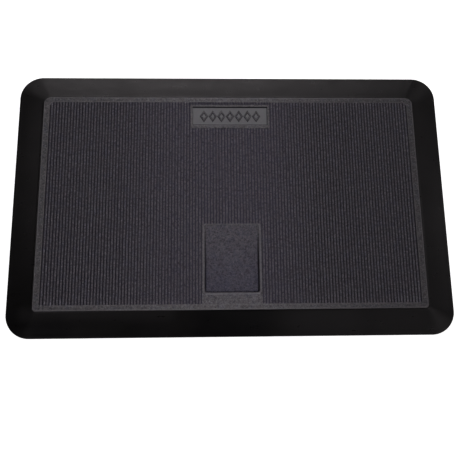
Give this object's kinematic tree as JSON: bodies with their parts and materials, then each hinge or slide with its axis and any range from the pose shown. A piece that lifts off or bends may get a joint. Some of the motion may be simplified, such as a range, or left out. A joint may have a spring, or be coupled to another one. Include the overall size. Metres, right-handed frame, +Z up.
{
  "type": "anti-fatigue mat",
  "caption": "Rectangular standing mat with a bevelled rim, a finely ribbed deck, a sloping toe-pull pocket near the front edge and a framed panel at the back.",
  "frame": {"origin": "centre of the underside, on the floor", "axes": "+X along the long side, +Y towards the far side away from the toe-pull pocket, +Z up"},
  "size_m": [0.8128, 0.508, 0.0159],
  "materials": {
    "grip_sheet": "matt slip-resistant rubber with a fine moulded grip pattern",
    "foam": "closed-cell polyurethane foam",
    "rim_skin": "smooth satin black moulded polyurethane skin",
    "deck_skin": "matt charcoal moulded polyurethane skin with a fine pebbled grain"
  },
  "bodies": {
    "root": {"base_sheet": "grip_sheet", "foam_core": "foam", "bevel_rim": "rim_skin", "ribbed_deck": "deck_skin", "toe_pull_tray": "deck_skin", "label_plate": "deck_skin"}
  },
  "joints": []
}
